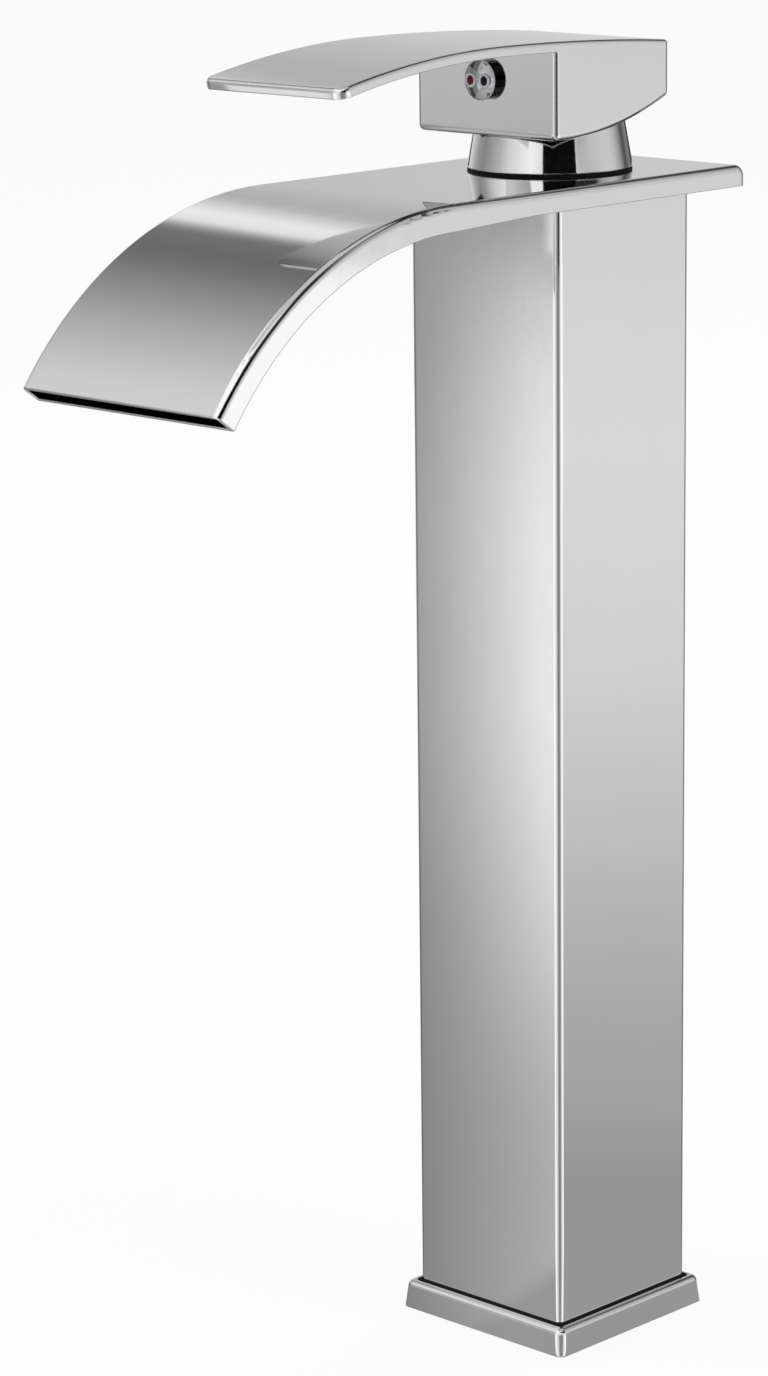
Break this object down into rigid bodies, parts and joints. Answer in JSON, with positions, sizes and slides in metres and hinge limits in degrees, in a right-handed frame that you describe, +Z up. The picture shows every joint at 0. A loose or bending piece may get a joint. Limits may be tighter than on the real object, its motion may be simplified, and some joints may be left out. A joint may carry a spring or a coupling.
{
  "type": "waterfall basin faucet",
  "caption": "Tall single-lever basin faucet: square column on a base flange, wide flat spout bending down to an open slot, and a lever that lifts for flow and turns for temperature.",
  "frame": {"origin": "on the column's axis at the underside of the base, where it meets the deck", "axes": "+Z up the column, -Y towards the spout's tip, +X to the cold side, which is on the right of someone who faces the spout"},
  "size_m": [0.0602, 0.1679, 0.3044],
  "materials": {
    "polished_chrome": "polished",
    "brass": "machined",
    "seal_rubber": "matt",
    "tube_copper": "drawn",
    "cartridge_plastic": "moulded",
    "inner_plastic": "moulded",
    "disc_ceramic": "lapped",
    "steel": "turned",
    "hot_red": "enamel",
    "cold_blue": "enamel"
  },
  "bodies": {
    "faucet_body": {"base_flange": "polished_chrome", "deck_seal": "seal_rubber", "column": "polished_chrome", "foot_block": "brass", "hot_riser": "tube_copper", "cold_riser": "tube_copper", "valve_body": "brass", "spout_gasket": "seal_rubber", "spout_shell": "polished_chrome", "spout_floor": "polished_chrome", "bonnet_seal": "seal_rubber", "bonnet": "polished_chrome", "retaining_nut": "brass", "cartridge_housing": "cartridge_plastic", "cartridge_base": "inner_plastic", "port_seals": "seal_rubber", "fixed_disc": "disc_ceramic"},
    "rotor": {"cartridge_rotor": "inner_plastic", "lever_pin": "steel"},
    "disc": {"disc_carrier": "inner_plastic", "moving_disc": "disc_ceramic"},
    "lever": {"cartridge_stem": "brass", "handle": "polished_chrome", "grub_screw": "steel", "index_plug": "polished_chrome", "hot_dot": "hot_red", "cold_dot": "cold_blue"}
  },
  "joints": [
    {"name": "temperature_turn", "type": "hinge", "parent": "faucet_body", "child": "rotor", "pos_m": [0, 0, 0.274], "axis": [0, 0, 1], "range_deg": [-45, 45]},
    {"name": "flow_lift", "type": "hinge", "parent": "rotor", "child": "lever", "pos_m": [0, 0, 0.274], "axis": [-1, 0, 0], "range_deg": [0, 25]},
    {"name": "disc_slide", "type": "slide", "parent": "rotor", "child": "disc", "axis": [0, -1, 0], "range_m": [0, 0.0035]}
  ],
  "couplings": [
    {"joint": "disc_slide", "follows": "flow_lift", "m_per_rad": 0.0078}
  ]
}
